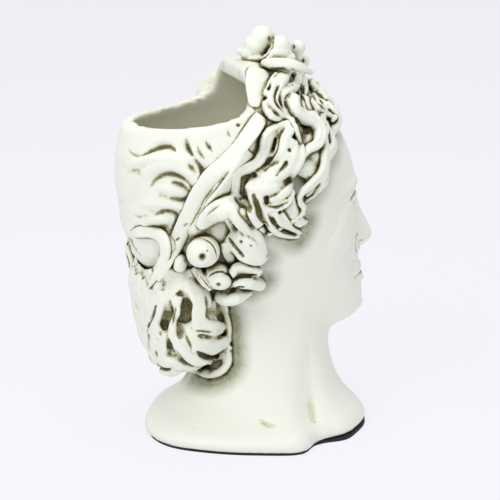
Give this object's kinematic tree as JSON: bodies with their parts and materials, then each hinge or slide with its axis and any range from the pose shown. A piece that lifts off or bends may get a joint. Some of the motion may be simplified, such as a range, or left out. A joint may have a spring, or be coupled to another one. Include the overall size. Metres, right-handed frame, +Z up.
{
  "type": "head planter",
  "caption": "Plant pot shaped as a classical head with wavy hair, head band and berries, on a lobed bust base.",
  "frame": {"origin": "middle of the bounding box's underside, on the base pad's lower face", "axes": "+Z up, the face looks along -Y, the head's right side is towards -X"},
  "size_m": [0.1763, 0.1995, 0.2988],
  "materials": {
    "cast_resin": "matt cast resin with a brown wash in the hollows",
    "foam_pad": "matt foam",
    "plug_rubber": "matt rubber"
  },
  "bodies": {
    "planter": {"head_shell": "cast_resin", "nape_hair": "cast_resin", "petal_back": "cast_resin", "crown_berry_high": "cast_resin", "crown_berry_low": "cast_resin", "band_right": "cast_resin", "band_left": "cast_resin", "ribbon_right": "cast_resin", "ribbon_left": "cast_resin", "ear_berry_right": "cast_resin", "ear_berry_left": "cast_resin", "low_berry_right": "cast_resin", "low_berry_left": "cast_resin", "bud_right": "cast_resin", "bud_left": "cast_resin", "leaf_upper_right": "cast_resin", "leaf_upper_left": "cast_resin", "leaf_lower_right": "cast_resin", "leaf_lower_left": "cast_resin", "petal_right": "cast_resin", "petal_left": "cast_resin", "fore_locks_right": "cast_resin", "fore_locks_left": "cast_resin", "crown_locks_right": "cast_resin", "crown_locks_left": "cast_resin", "temple_locks_right": "cast_resin", "temple_locks_left": "cast_resin", "side_locks_right": "cast_resin", "side_locks_left": "cast_resin", "base_pad": "foam_pad"},
    "plug": {"drain_plug": "plug_rubber"}
  },
  "joints": [
    {"name": "plug_lift", "type": "slide", "parent": "planter", "child": "plug", "axis": [0, 0, 1], "range_m": [0, 0.03]}
  ]
}
